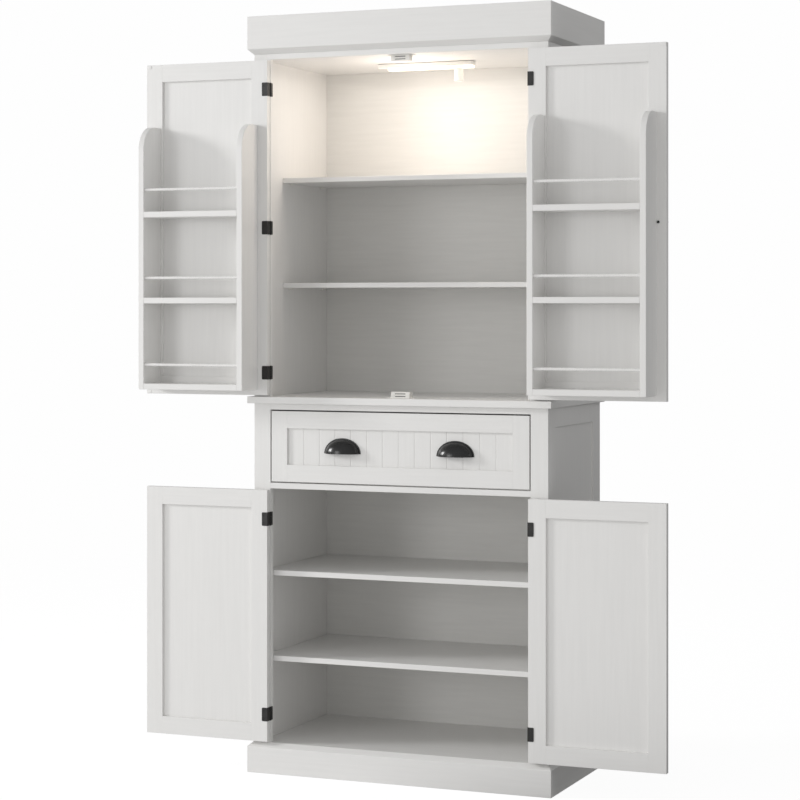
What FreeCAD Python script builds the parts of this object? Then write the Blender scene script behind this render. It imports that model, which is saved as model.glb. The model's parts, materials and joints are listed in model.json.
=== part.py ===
import FreeCAD, Part
import math
import os

# Kitchen cabinet: two pairs of doors, a drawer between them, four shelves, and a rack of three
# shelves on each upper door. Millimetres. While the pieces are made, X is to the right seen from
# the front, Y goes to the back from the front of the cornice, and Z is up from the floor.
# The doors are made fully open, flat against the front, and the drawer closed.

V = FreeCAD.Vector
edge_tolerance = 0.01  # for finding edges by their place

# Outside of the cabinet
cabinet_width = 762.0
cabinet_depth = 409.0
side_overhang = 12.0  # cornice, middle board and plinth past the side panels
front_overhang = 15.5  # and past the face frame

# Heights, from the floor up
plinth_height = 72.5
lower_opening_height = 604.0
drawer_rail_height = 13.5
drawer_opening_height = 174.0
drawer_top_rail_height = 14.7
mid_board_thickness = 16.2
upper_opening_height = 802.1
top_rail_show = 13.0  # strip of the top rail under the cornice
cornice_height = 90.0

# Carcase boards
board_thickness = 15.0  # sides, bottom, ceiling, top and rear rail
frame_thickness = 15.0  # face frame
stile_width = 42.0
back_thickness = 6.0
back_rabbet = 7.0  # width of the back's seat in each side panel
side_frame_width = 54.0  # upright borders of the recess outside each side panel
side_rail_width = 46.0  # level borders of the same recess
side_recess = 5.0
plinth_bevel = 10.5
cornice_bevel = 12.0
edge_land = 1.0  # flat left at the thin edge of a bevel
strap_hole_radius = 1.5  # pilot holes for anti-tip straps, in the rear rail
strap_hole_depth = 12.0
strap_hole_spacing = 500.0

# Shelves
upper_shelf_thickness = 12.0
lower_shelf_thickness = 12.7
upper_shelf_heights = (271.6, 527.1)  # tops, above the middle board
lower_shelf_heights = (203.5, 407.5)  # tops, above the bottom panel
upper_shelf_gap = 26.5  # behind the racks of the closed doors
lower_shelf_gap = 4.5  # behind the closed doors
shelf_side_gap = 0.6
shelf_back_gap = 1.0
support_pin_radius = 2.5
support_pin_depth = 8.0
support_pin_clearance = 0.1
support_inset = 37.0  # from the shelf's front and back edges
support_length = 9.0
support_width = 10.0
support_thickness = 4.0

# Doors
door_thickness = 15.0
door_member_width = 42.0
door_centre_gap = 2.0
door_top_gap = 3.0
door_bottom_gap = 3.5
door_inner_recess = 7.0
door_panel_thickness = 4.0
panel_groove_depth = 6.0
panel_play = 0.5  # between a panel's edge and the bottom of its groove

# Wrap-around butt hinges
leaf_thickness = 1.2
leaf_play = 0.6  # between the two folded leaves
barrel_radius = 1.85
hinge_pin_radius = 1.0
hinge_pin_clearance = 0.05
hinge_clearance = 0.27  # round the barrel
hinge_height = 32.0
hinge_pin_stand = 0.6  # each end of the pin past the barrel
middle_knuckle = 12.0
knuckle_gap = 0.4
leaf_corner = 2.4
frame_leaf_depth = 10.5
door_leaf_width = 13.4
hinge_drop = 69.0  # centre of the top hinge below the door's top
upper_hinge_rise = 53.6  # centre of the lowest hinge above the door's bottom
lower_hinge_rise = 64.7

# Racks on the upper doors
rack_depth = 84.0
rack_board = 14.0
rack_hinge_inset = 25.2  # from the door's hinge edge
rack_tip_inset = 22.7  # from the door's free edge
rack_catch_gap = 1.5  # rack above the catch on the middle board
rack_pitch = 205.0
rack_corner = 58.0
rod_radius = 3.5
rod_setback = 8.0
rod_heights = (45.0, 47.0, 52.5)  # above each rack shelf, from the lowest
rod_let_in = 6.0
rod_clearance = 0.1

# Knobs
knob_rack_gap = 0.6  # between the knob screw's head and the side of the rack
lower_knob_drop = 110.0  # below the lower door's top
knob_base_radius = 8.0
knob_neck_radius = 5.0
knob_head_radius = 14.0
knob_length = 25.0
knob_base_height = 3.0
knob_head_height = 13.0
knob_cap_height = 7.0
knob_swell = 0.3  # share of the way in from the head's edge to its neck, halfway up its underside
knob_screw_radius = 2.0
knob_screw_clearance = 0.15
knob_screw_grip = 10.0
knob_neck_flare = 1.0  # the neck's extra radius under the head
screw_end_gap = 1.0  # past the end of a screw in its hole
screw_head_radius = 3.2
screw_head_height = 2.0

# Magnetic catches and their strike plates
catch_width = 47.0
catch_depth = 18.0
catch_height = 15.0
catch_flange_width = 66.0
catch_flange_depth = 11.0
catch_flange_thickness = 1.6
pole_width = 26.0
pole_gauge = 1.4
pole_length = 14.0
pole_stand = 0.5
magnet_thickness = 4.6
magnet_inset = 2.0
strike_width = 11.0
strike_height = 8.0
strike_thickness = 1.0
strike_inset = 1.0
strike_gap = 0.3

# Lamp under the ceiling
lamp_length = 246.0
lamp_left = -131.0
lamp_depth = 22.0
lamp_front = 190.5  # behind the face frame's front
lamp_housing_height = 9.5
lamp_spine_height = 1.5
lamp_spine_depth = 12.0
lamp_diffuser_height = 6.0
lamp_left_cap = 28.0
lamp_right_cap = 3.0
lamp_rounding = 2.5
sensor_from_right = 39.0  # from the lamp's right end
sensor_radius = 10.5
sensor_height = 31.0
sensor_rounding = 2.0

# Drawer
drawer_gap = 3.2
drawer_member_width = 40.5
drawer_recess = 6.0
drawer_panel_thickness = 6.0
bead_pitch = 40.3
bead_width = 3.0
bead_depth = 1.5
box_board = 12.0
box_height = 120.0
box_rise = 10.0
box_depth = 345.0
box_bottom_thickness = 4.0
box_bottom_rise = 8.0
box_groove_depth = 6.0
runner_width = 12.7
runner_gauge = 1.2
runner_height = 35.0
runner_play = 0.3
runner_length = 340.0
runner_rise = 40.0  # centre above the drawer box's lower edge
runner_setback = 1.5  # behind the face frame
spacer_height = 60.0

# Cup pulls
pull_spacing = 284.0
pull_width = 93.0
pull_height = 36.5
pull_depth = 26.0
pull_wall = 2.2
pull_rim = 3.0
pull_rim_thickness = 1.6
pull_drop = 14.0  # open lower edge below the middle of the drawer front
pull_boss_radius = 3.8
pull_boss_spacing = 64.0
pull_boss_rise = 8.0
pull_screw_radius = 1.9
pull_screw_clearance = 0.15
pull_screw_grip = 7.0
pull_screw_head_radius = 3.8
pull_screw_head_height = 2.2

# Levels
bottom_panel_top = plinth_height
lower_opening_top = bottom_panel_top + lower_opening_height
drawer_opening_bottom = lower_opening_top + drawer_rail_height
drawer_opening_top = drawer_opening_bottom + drawer_opening_height
mid_board_bottom = drawer_opening_top + drawer_top_rail_height
mid_board_top = mid_board_bottom + mid_board_thickness
upper_opening_top = mid_board_top + upper_opening_height
cornice_bottom = upper_opening_top + top_rail_show
cabinet_height = cornice_bottom + cornice_height
top_board_bottom = cabinet_height - board_thickness

# Half widths and depths
outline_half = cabinet_width / 2
body_half = outline_half - side_overhang
wall_half = body_half - board_thickness
opening_half = body_half - stile_width
body_front = front_overhang
frame_back = body_front + frame_thickness
back_front = cabinet_depth - back_thickness
closed_inner_face = body_front + door_thickness

# Hinge line. The pin stands in front of the frame by just enough for the barrel to clear the
# door's and the frame's edges.
hinge_gap = 2 * leaf_thickness + leaf_play
hinge_reach = barrel_radius + hinge_clearance
pin_proud = math.sqrt(hinge_reach ** 2 - (hinge_gap / 2) ** 2)
pin_x = opening_half - hinge_gap / 2
pin_y = body_front - pin_proud

# The open door, on the right
door_width = opening_half - hinge_gap - door_centre_gap / 2
door_edge = opening_half
door_tip = door_edge + door_width
door_inner_face = 2 * pin_y - closed_inner_face
door_outer_face = door_inner_face + door_thickness
upper_door_bottom = mid_board_top + door_bottom_gap
upper_door_top = upper_opening_top - door_top_gap
lower_door_bottom = bottom_panel_top + door_bottom_gap
lower_door_top = lower_opening_top - door_top_gap
rack_front = door_inner_face - rack_depth

# The part's origin lies on the floor, under the middle of everything at rest.
origin_y = (rack_front + cabinet_depth) / 2

nodes = {}


def block(x0, x1, y0, y1, z0, z1):
    return Part.makeBox(x1 - x0, y1 - y0, z1 - z0, V(x0, y0, z0))


def board(half_width, y0, y1, z0, z1):
    return block(-half_width, half_width, y0, y1, z0, z1)


def rod(radius, length, start, direction):
    return Part.makeCylinder(radius, length, start, direction)


def mirrored(shape):
    return shape.mirror(V(0, 0, 0), V(1, 0, 0))


def both_sides(shape):
    return [shape, mirrored(shape)]


def edges_in(shape, low, high):
    # Edges that lie wholly between two corners
    space = FreeCAD.BoundBox(low.x, low.y, low.z, high.x, high.y, high.z)
    space.enlarge(edge_tolerance)
    return [edge for edge in shape.Edges if space.isInside(edge.BoundBox)]


def rectangle(half, front, z):
    back = cabinet_depth
    corners = [V(-half, front, z), V(half, front, z), V(half, back, z), V(-half, back, z)]
    return Part.makePolygon(corners + corners[:1])


def edge_boards(low, high, bevel_low, bevel_high):
    # Front board and two side boards round the body, mitred at the front corners. The part of
    # their height from bevel_low to bevel_high slopes in to a narrow land on the body.
    land_side = edge_land * side_overhang / front_overhang
    wide = rectangle(outline_half, 0.0, 0.0)
    narrow = rectangle(body_half + land_side, body_front - edge_land, 0.0)
    wide_at_low = bevel_low > low
    slope_low = wide.copy() if wide_at_low else narrow.copy()
    slope_high = narrow.copy() if wide_at_low else wide.copy()
    slope_low.translate(V(0, 0, bevel_low))
    slope_high.translate(V(0, 0, bevel_high))
    slope = Part.makeLoft([slope_low, slope_high], True, True)
    straight_low = low if wide_at_low else bevel_high
    straight_high = bevel_low if wide_at_low else high
    upright = board(outline_half, 0, cabinet_depth, straight_low, straight_high)
    envelope = slope.fuse(upright)
    back = cabinet_depth
    outer = V(outline_half, 0, low)
    inner = V(body_half, body_front, low)
    front_plan = [mirrored_point(outer), outer, inner, mirrored_point(inner)]
    side_plan = [outer, V(outline_half, back, low), V(body_half, back, low), inner]
    front = envelope.common(prism(front_plan, high - low)).removeSplitter()
    side = envelope.common(prism(side_plan, high - low)).removeSplitter()
    return [front.Solids[0]] + both_sides(side.Solids[0])


def mirrored_point(point):
    return V(-point.x, point.y, point.z)


def prism(plan, height):
    return Part.Face(Part.makePolygon(plan + plan[:1])).extrude(V(0, 0, height))


def side_panel(low, high, recess_low, recess_high, shelf_undersides, shelf_front):
    panel = block(wall_half, body_half, frame_back, cabinet_depth, low, high)
    recess_front = body_front + side_frame_width
    recess_back = cabinet_depth - side_frame_width
    recess_face = body_half - side_recess
    panel = panel.cut(block(recess_face, body_half, recess_front, recess_back, recess_low, recess_high))
    seat = wall_half + back_rabbet
    panel = panel.cut(block(wall_half, seat, back_front, cabinet_depth, low, high))
    hole_radius = support_pin_radius + support_pin_clearance
    for x, y, z in support_places(shelf_undersides, shelf_front):
        panel = panel.cut(rod(hole_radius, support_pin_depth, V(x, y, z), V(1, 0, 0)))
    return panel


def support_places(shelf_undersides, shelf_front):
    shelf_back = back_front - shelf_back_gap
    places = []
    for underside in shelf_undersides:
        for y in (shelf_front + support_inset, shelf_back - support_inset):
            places.append((wall_half, y, underside - support_thickness / 2))
    return places


def shelf_support(x, y, z):
    # A peg in the side panel with a flat tongue under the shelf
    tongue = block(x - support_length, x, y - support_width / 2, y + support_width / 2,
                   z - support_thickness / 2, z + support_thickness / 2)
    return tongue.fuse(rod(support_pin_radius, support_pin_depth, V(x, y, z), V(1, 0, 0)))


def shelf(underside, thickness, front):
    half = wall_half - shelf_side_gap
    return board(half, front, back_front - shelf_back_gap, underside, underside + thickness)


def make_carcase():
    upper_undersides = [mid_board_top + h - upper_shelf_thickness for h in upper_shelf_heights]
    lower_undersides = [bottom_panel_top + h - lower_shelf_thickness for h in lower_shelf_heights]
    upper_front = closed_inner_face + rack_depth + upper_shelf_gap
    lower_front = closed_inner_face + lower_shelf_gap

    lower_side = side_panel(0, mid_board_bottom, plinth_height + side_rail_width,
                            mid_board_bottom - side_rail_width, lower_undersides, lower_front)
    upper_side = side_panel(mid_board_top, top_board_bottom, mid_board_top + side_rail_width,
                            cornice_bottom - side_rail_width, upper_undersides, upper_front)
    nodes["lower_right_side"] = [lower_side]
    nodes["lower_left_side"] = [mirrored(lower_side)]
    nodes["upper_right_side"] = [upper_side]
    nodes["upper_left_side"] = [mirrored(upper_side)]

    lower_stile = block(opening_half, body_half, body_front, frame_back, 0, mid_board_bottom)
    upper_stile = block(opening_half, body_half, body_front, frame_back, mid_board_top, top_board_bottom)
    nodes["face_frame_stiles"] = both_sides(lower_stile) + both_sides(upper_stile)
    rails = []
    for low, high in ((0, bottom_panel_top), (lower_opening_top, drawer_opening_bottom),
                      (drawer_opening_top, mid_board_bottom), (upper_opening_top, top_board_bottom)):
        rails.append(board(opening_half, body_front, frame_back, low, high))
    nodes["face_frame_rails"] = rails

    bottom_low = bottom_panel_top - board_thickness
    ceiling_high = upper_opening_top + board_thickness
    nodes["bottom_panel"] = [board(wall_half, frame_back, back_front, bottom_low, bottom_panel_top)]
    nodes["middle_board"] = [board(outline_half, 0, cabinet_depth, mid_board_bottom, mid_board_top)]
    nodes["ceiling_panel"] = [board(wall_half, frame_back, back_front, upper_opening_top, ceiling_high)]
    nodes["top_board"] = [board(body_half, body_front, cabinet_depth, top_board_bottom, cabinet_height)]

    back_half = wall_half + back_rabbet
    nodes["lower_back"] = [board(back_half, back_front, cabinet_depth, bottom_low, mid_board_bottom)]
    nodes["upper_back"] = [board(back_half, back_front, cabinet_depth, mid_board_top, ceiling_high)]

    rail_front = cabinet_depth - board_thickness
    rear_rail = board(wall_half, rail_front, cabinet_depth, ceiling_high, top_board_bottom)
    hole_z = (ceiling_high + top_board_bottom) / 2
    for x in (-strap_hole_spacing / 2, strap_hole_spacing / 2):
        hole_mouth = V(x, cabinet_depth, hole_z)
        rear_rail = rear_rail.cut(rod(strap_hole_radius, strap_hole_depth, hole_mouth, V(0, -1, 0)))
    nodes["rear_rail"] = [rear_rail]

    nodes["cornice_boards"] = edge_boards(cornice_bottom, cabinet_height,
                                          cornice_bottom, cornice_bottom + cornice_bevel)
    nodes["plinth_boards"] = edge_boards(0, plinth_height, plinth_height - plinth_bevel, plinth_height)

    nodes["upper_shelves"] = [shelf(z, upper_shelf_thickness, upper_front) for z in upper_undersides]
    nodes["lower_shelves"] = [shelf(z, lower_shelf_thickness, lower_front) for z in lower_undersides]
    supports = []
    for undersides, front in ((upper_undersides, upper_front), (lower_undersides, lower_front)):
        for x, y, z in support_places(undersides, front):
            supports += both_sides(shelf_support(x, y, z))
    nodes["shelf_supports"] = supports


def framed_panel(x0, x1, y0, y1, z0, z1, member, groove_low, groove_high):
    # Two stiles and two rails with tongues, grooved all round for a panel between two depths
    inner_x0 = x0 + member
    inner_x1 = x1 - member
    inner_z0 = z0 + member
    inner_z1 = z1 - member

    def sheet(reach, low, high):
        # A board as thick as the groove, out to a reach past the inner edges of the stiles
        return block(inner_x0 - reach, inner_x1 + reach, groove_low, groove_high, low, high)

    deep = panel_groove_depth
    groove = sheet(deep, inner_z0 - deep, inner_z1 + deep)
    stile_groove = sheet(deep, z0, z1)
    left = block(x0, inner_x0, y0, y1, z0, z1).cut(stile_groove)
    right = block(inner_x1, x1, y0, y1, z0, z1).cut(stile_groove)
    members = [left, right]
    for low, high in ((z0, inner_z0), (inner_z1, z1)):
        rail = block(inner_x0, inner_x1, y0, y1, low, high)
        members.append(rail.fuse(sheet(deep, low, high)).removeSplitter().cut(groove))
    reach = deep - panel_play
    return members, sheet(reach, inner_z0 - reach, inner_z1 + reach)


def ring(radius, bore, low, high):
    centre = V(pin_x, pin_y, low)
    up = V(0, 0, 1)
    return rod(radius, high - low, centre, up).cut(rod(bore, high - low, centre, up))


def knuckle_web(y0, y1, low, high, bore):
    web = block(opening_half - leaf_thickness, opening_half, y0, y1, low, high)
    return web.cut(rod(bore, high - low, V(pin_x, pin_y, low), V(0, 0, 1)))


def hinge(z):
    # Frame leaf, door leaf and pin of one hinge on the right, open
    low = z - hinge_height / 2
    high = z + hinge_height / 2
    knuckle_low = z - middle_knuckle / 2
    knuckle_high = z + middle_knuckle / 2
    bore = hinge_pin_radius + hinge_pin_clearance
    leaf_x = opening_half - leaf_thickness

    leaf_back = body_front + frame_leaf_depth
    frame_leaf = block(leaf_x, opening_half, pin_y + hinge_reach, leaf_back, low, high)
    corners = edges_in(frame_leaf, V(leaf_x, leaf_back, low), V(opening_half, leaf_back, low))
    corners += edges_in(frame_leaf, V(leaf_x, leaf_back, high), V(opening_half, leaf_back, high))
    frame_leaf = frame_leaf.makeFillet(leaf_corner, corners)
    for start, end in ((low, knuckle_low - knuckle_gap), (knuckle_high + knuckle_gap, high)):
        frame_leaf = frame_leaf.fuse(ring(barrel_radius, bore, start, end))
        frame_leaf = frame_leaf.fuse(knuckle_web(pin_y, pin_y + hinge_reach, start, end, bore))

    wrap_face = door_inner_face - leaf_thickness
    wrap_end = door_edge + door_leaf_width
    door_leaf = block(leaf_x, opening_half, wrap_face, pin_y - hinge_reach, low, high)
    wrap = block(leaf_x, wrap_end, wrap_face, door_inner_face, low, high)
    corners = edges_in(wrap, V(wrap_end, wrap_face, low), V(wrap_end, door_inner_face, low))
    corners += edges_in(wrap, V(wrap_end, wrap_face, high), V(wrap_end, door_inner_face, high))
    door_leaf = door_leaf.fuse(wrap.makeFillet(leaf_corner, corners))
    door_leaf = door_leaf.fuse(ring(barrel_radius, bore, knuckle_low, knuckle_high))
    door_leaf = door_leaf.fuse(knuckle_web(pin_y - hinge_reach, pin_y, knuckle_low, knuckle_high, bore))

    pin_low = V(pin_x, pin_y, low - hinge_pin_stand)
    pin = rod(hinge_pin_radius, hinge_height + 2 * hinge_pin_stand, pin_low, V(0, 0, 1))
    return frame_leaf.removeSplitter(), door_leaf.removeSplitter(), pin


def knob(x, z, through):
    # A turned knob on the door's outer face, and its screw from the inner face where it has one
    def at(radius, height):
        return V(x + radius, door_outer_face + height, z)

    head_start = knob_length - knob_head_height
    waist = (knob_base_height + head_start) / 2
    widest = knob_length - knob_cap_height
    neck_top = knob_neck_radius + knob_neck_flare
    cap_radius = (knob_head_radius ** 2 + knob_cap_height ** 2) / (2 * knob_cap_height)
    half_sweep = math.asin(knob_head_radius / cap_radius) / 2
    cap_side = cap_radius * math.sin(half_sweep)
    cap_drop = cap_radius * (1 - math.cos(half_sweep))
    swell = knob_head_radius - (knob_head_radius - neck_top) * knob_swell
    outline = [
        Part.makeLine(at(0, 0), at(knob_base_radius, 0)),
        Part.makeLine(at(knob_base_radius, 0), at(knob_base_radius, knob_base_height / 2)),
        Part.Arc(at(knob_base_radius, knob_base_height / 2), at(knob_neck_radius, waist),
                 at(neck_top, head_start)).toShape(),
        Part.Arc(at(neck_top, head_start), at(swell, (head_start + widest) / 2),
                 at(knob_head_radius, widest)).toShape(),
        Part.Arc(at(knob_head_radius, widest), at(cap_side, knob_length - cap_drop),
                 at(0, knob_length)).toShape(),
        Part.makeLine(at(0, knob_length), at(0, 0)),
    ]
    turned = Part.Face(Part.Wire(outline)).revolve(V(x, door_outer_face, z), V(0, 1, 0), 360)
    if not through:
        return [turned]
    hole = knob_screw_radius + knob_screw_clearance
    turned = turned.cut(rod(hole, knob_screw_grip + screw_end_gap, V(x, door_outer_face, z), V(0, 1, 0)))
    shank_start = V(x, door_inner_face, z)
    screw = rod(knob_screw_radius, door_thickness + knob_screw_grip, shank_start, V(0, 1, 0))
    head = rod(screw_head_radius, screw_head_height, shank_start, V(0, -1, 0))
    rim_centre = V(x, door_inner_face - screw_head_height, z)
    reach = V(screw_head_radius, 0, screw_head_radius)
    rim = edges_in(head, rim_centre - reach, rim_centre + reach)
    head = head.makeFillet(screw_head_height / 2, rim)
    return [turned, screw.fuse(head)]


def make_rack():
    bottom = mid_board_top + catch_height + rack_catch_gap
    height = len(rod_heights) * rack_pitch + rack_board
    top = bottom + height
    outer_x0 = door_edge + rack_hinge_inset
    outer_x1 = door_tip - rack_tip_inset
    inner_x0 = outer_x0 + rack_board
    inner_x1 = outer_x1 - rack_board
    bend = V(0, rack_front + rack_corner, top - rack_corner)
    half_turn = rack_corner * math.sqrt(0.5)
    bend_middle = V(0, bend.y - half_turn, bend.z + half_turn)
    outline = [
        Part.makeLine(V(0, door_inner_face, bottom), V(0, rack_front, bottom)),
        Part.makeLine(V(0, rack_front, bottom), V(0, rack_front, bend.z)),
        Part.Arc(V(0, rack_front, bend.z), bend_middle, V(0, bend.y, top)).toShape(),
        Part.makeLine(V(0, bend.y, top), V(0, door_inner_face, top)),
        Part.makeLine(V(0, door_inner_face, top), V(0, door_inner_face, bottom)),
    ]
    profile = Part.Face(Part.Wire(outline))
    sides = []
    for x in (outer_x0, inner_x1):
        side = profile.copy()
        side.translate(V(x, 0, 0))
        sides.append(side.extrude(V(rack_board, 0, 0)))
    shelves = []
    rods = []
    rod_y = rack_front + rod_setback
    for level, rod_height in enumerate(rod_heights):
        low = bottom + level * rack_pitch
        shelves.append(block(inner_x0, inner_x1, rack_front, door_inner_face, low, low + rack_board))
        start = V(inner_x0 - rod_let_in, rod_y, low + rack_board + rod_height)
        length = inner_x1 - inner_x0 + 2 * rod_let_in
        rods.append(rod(rod_radius, length, start, V(1, 0, 0)))
        hole = rod(rod_radius + rod_clearance, length, start, V(1, 0, 0))
        sides = [side.cut(hole) for side in sides]
    return sides, shelves, rods


def make_doors():
    frame_leaves = []
    pins = []
    upper_middle = (upper_door_bottom + upper_door_top) / 2
    upper_hinges = (upper_door_bottom + upper_hinge_rise, upper_middle, upper_door_top - hinge_drop)
    lower_hinges = (lower_door_bottom + lower_hinge_rise, lower_door_top - hinge_drop)
    door_sets = (("upper", upper_door_bottom, upper_door_top, upper_hinges),
                 ("lower", lower_door_bottom, lower_door_top, lower_hinges))
    panel_y0 = door_inner_face + door_inner_recess
    panel_y1 = panel_y0 + door_panel_thickness
    for name, low, high, hinge_heights in door_sets:
        frame, panel = framed_panel(door_edge, door_tip, door_inner_face, door_outer_face, low, high,
                                    door_member_width, panel_y0, panel_y1)
        leaves = []
        for z in hinge_heights:
            frame_leaf, door_leaf, pin = hinge(z)
            frame_leaves += both_sides(frame_leaf)
            pins += both_sides(pin)
            leaves.append(door_leaf)
        knob_x = door_tip - rack_tip_inset + knob_rack_gap + screw_head_radius
        has_rack = name == "upper"
        knob_z = upper_middle if has_rack else high - lower_knob_drop
        pieces = {"frame": frame, "panel": [panel], "hinge_leaves": leaves}
        pieces["knob"] = knob(knob_x, knob_z, has_rack)
        if has_rack:
            hole = knob_screw_radius + knob_screw_clearance
            drill = rod(hole, door_thickness, V(knob_x, door_inner_face, knob_z), V(0, 1, 0))
            pieces["frame"] = [member.cut(drill) for member in frame]
            pieces["rack_sides"], pieces["rack_shelves"], pieces["rack_rods"] = make_rack()
            strike_x1 = door_tip - strike_inset
            strikes = []
            for z in (low + strike_inset, high - strike_inset - strike_height):
                strikes.append(block(strike_x1 - strike_width, strike_x1, door_inner_face - strike_thickness,
                                     door_inner_face, z, z + strike_height))
            pieces["strike_plates"] = strikes
        for piece, solids in pieces.items():
            nodes[f"{name}_right_door_{piece}"] = solids
            nodes[f"{name}_left_door_{piece}"] = [mirrored(solid) for solid in solids]
    nodes["hinge_frame_leaves"] = frame_leaves
    nodes["hinge_pins"] = pins


def catch(base, up):
    # Body, pole plates and magnet of a catch that stands on a base level, upwards or hanging
    pole_front = closed_inner_face + strike_thickness + strike_gap
    front = pole_front + pole_stand
    top = base + up * catch_height
    middle = (base + top) / 2
    flange_top = base + up * catch_flange_thickness
    flange_front = front + (catch_depth - catch_flange_depth) / 2

    body = board(catch_width / 2, front, front + catch_depth, min(base, top), max(base, top))
    body = body.fuse(board(catch_flange_width / 2, flange_front, flange_front + catch_flange_depth,
                           min(base, flange_top), max(base, flange_top)))
    body = body.removeSplitter()
    half = magnet_thickness / 2
    pole_end = pole_front + pole_length
    magnet = board(pole_width / 2, front + magnet_inset, pole_end, middle - half, middle + half)
    poles = []
    for low in (middle - half - pole_gauge, middle + half):
        poles.append(board(pole_width / 2, pole_front, pole_end, low, low + pole_gauge))
    for piece in poles + [magnet]:
        body = body.cut(piece)
    return body, poles, magnet


def make_catches():
    bodies = []
    poles = []
    magnets = []
    for base, up in ((mid_board_top, 1), (upper_opening_top, -1)):
        body, pair, magnet = catch(base, up)
        bodies.append(body)
        poles += pair
        magnets.append(magnet)
    nodes["catch_bodies"] = bodies
    nodes["catch_pole_plates"] = poles
    nodes["catch_magnets"] = magnets


def make_lamp():
    front = body_front + lamp_front
    back = front + lamp_depth
    right = lamp_left + lamp_length
    spine_front = (front + back - lamp_spine_depth) / 2
    housing_top = upper_opening_top - lamp_spine_height
    housing_bottom = housing_top - lamp_housing_height
    housing = block(lamp_left, right, front, back, housing_bottom, housing_top)
    ends = []
    for x in (lamp_left, right):
        for y in (front, back):
            ends += edges_in(housing, V(x, y, housing_bottom), V(x, y, housing_top))
    housing = housing.makeFillet(lamp_rounding, ends)
    lit_left = lamp_left + lamp_left_cap
    spine_back = spine_front + lamp_spine_depth
    spine = block(lit_left, right - lamp_left_cap, spine_front, spine_back, housing_top, upper_opening_top)
    nodes["lamp_housing"] = [housing.fuse(spine)]

    diffuser_bottom = housing_bottom - lamp_diffuser_height
    lit_right = right - lamp_right_cap
    diffuser = block(lit_left, lit_right, front, back, diffuser_bottom, housing_bottom)
    lower_edges = []
    for y in (front, back):
        lower_edges += edges_in(diffuser, V(lit_left, y, diffuser_bottom), V(lit_right, y, diffuser_bottom))
    nodes["lamp_diffuser"] = [diffuser.makeFillet(lamp_rounding, lower_edges)]

    start = V(right - sensor_from_right, (front + back) / 2, diffuser_bottom)
    sensor = rod(sensor_radius, sensor_height, start, V(0, 0, -1))
    tip_centre = V(start.x, start.y, diffuser_bottom - sensor_height)
    reach = V(sensor_radius, sensor_radius, 0)
    tip = edges_in(sensor, tip_centre - reach, tip_centre + reach)
    nodes["lamp_sensor"] = [sensor.makeFillet(sensor_rounding, tip)]


def make_runners():
    box_bottom = drawer_opening_bottom + box_rise
    z = box_bottom + runner_rise
    front = frame_back + runner_setback
    back = front + runner_length
    box_half = opening_half - runner_width
    tall = runner_height / 2
    spacer = block(opening_half, wall_half, front, back, z - spacer_height / 2, z + spacer_height / 2)


    def bar(x0, x1, half_height):
        return block(x0, x1, front, back, z - half_height, z + half_height)

    inner_edge = box_half + runner_gauge + runner_play
    channel_hollow = tall - runner_gauge
    channel = bar(inner_edge, opening_half, tall)
    channel = channel.cut(bar(inner_edge, opening_half - runner_gauge, channel_hollow))

    outer_edge = opening_half - runner_gauge - runner_play
    slide_tall = channel_hollow - runner_play
    slide = bar(box_half, outer_edge, slide_tall)
    slide = slide.cut(bar(box_half + runner_gauge, outer_edge, slide_tall - runner_gauge))
    nodes["runner_spacers"] = both_sides(spacer)
    nodes["runner_channels"] = both_sides(channel)
    nodes["drawer_runner_slides"] = both_sides(slide)


def half_ellipsoid(x, y, z, half_width, depth, height):
    # The quarter of an ellipsoid in front of a face and above a level
    matrix = FreeCAD.Matrix()
    matrix.A11 = half_width
    matrix.A22 = depth
    matrix.A33 = height
    quarter = Part.makeSphere(1.0, V(0, 0, 0), V(0, 0, 1), 0, 90, 180)
    quarter.rotate(V(0, 0, 0), V(0, 0, 1), 180)
    hood = quarter.transformGeometry(matrix)
    hood.translate(V(x, y, z))
    return hood


def cup_pull(x, face, low):
    hood_half = pull_width / 2 - pull_rim
    hood_height = pull_height - pull_rim
    hood = half_ellipsoid(x, face, low, hood_half, pull_depth, hood_height)
    wall = pull_wall
    hollow = half_ellipsoid(x, face, low, hood_half - wall, pull_depth - wall, hood_height - wall)
    ellipse = Part.Ellipse(V(0, 0, 0), pull_width / 2, pull_height).toShape()
    plate = Part.Face(Part.Wire(ellipse)).extrude(V(0, 0, pull_rim_thickness))
    plate.rotate(V(0, 0, 0), V(1, 0, 0), 90)
    plate.translate(V(x, face, low))
    upper_half = block(x - pull_width, x + pull_width, face - pull_depth, face, low, low + pull_height)
    plate = plate.common(upper_half)
    holes = []
    hole_radius = pull_screw_radius + pull_screw_clearance
    for boss_x in (x - pull_boss_spacing / 2, x + pull_boss_spacing / 2):
        start = V(boss_x, face, low + pull_boss_rise)
        hollow = hollow.cut(rod(pull_boss_radius, pull_depth, start, V(0, -1, 0)))
        holes.append(rod(hole_radius, pull_screw_grip + screw_end_gap, start, V(0, -1, 0)))
    pull = hood.fuse(plate).cut(hollow)
    for hole in holes:
        pull = pull.cut(hole)
    return pull


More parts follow.
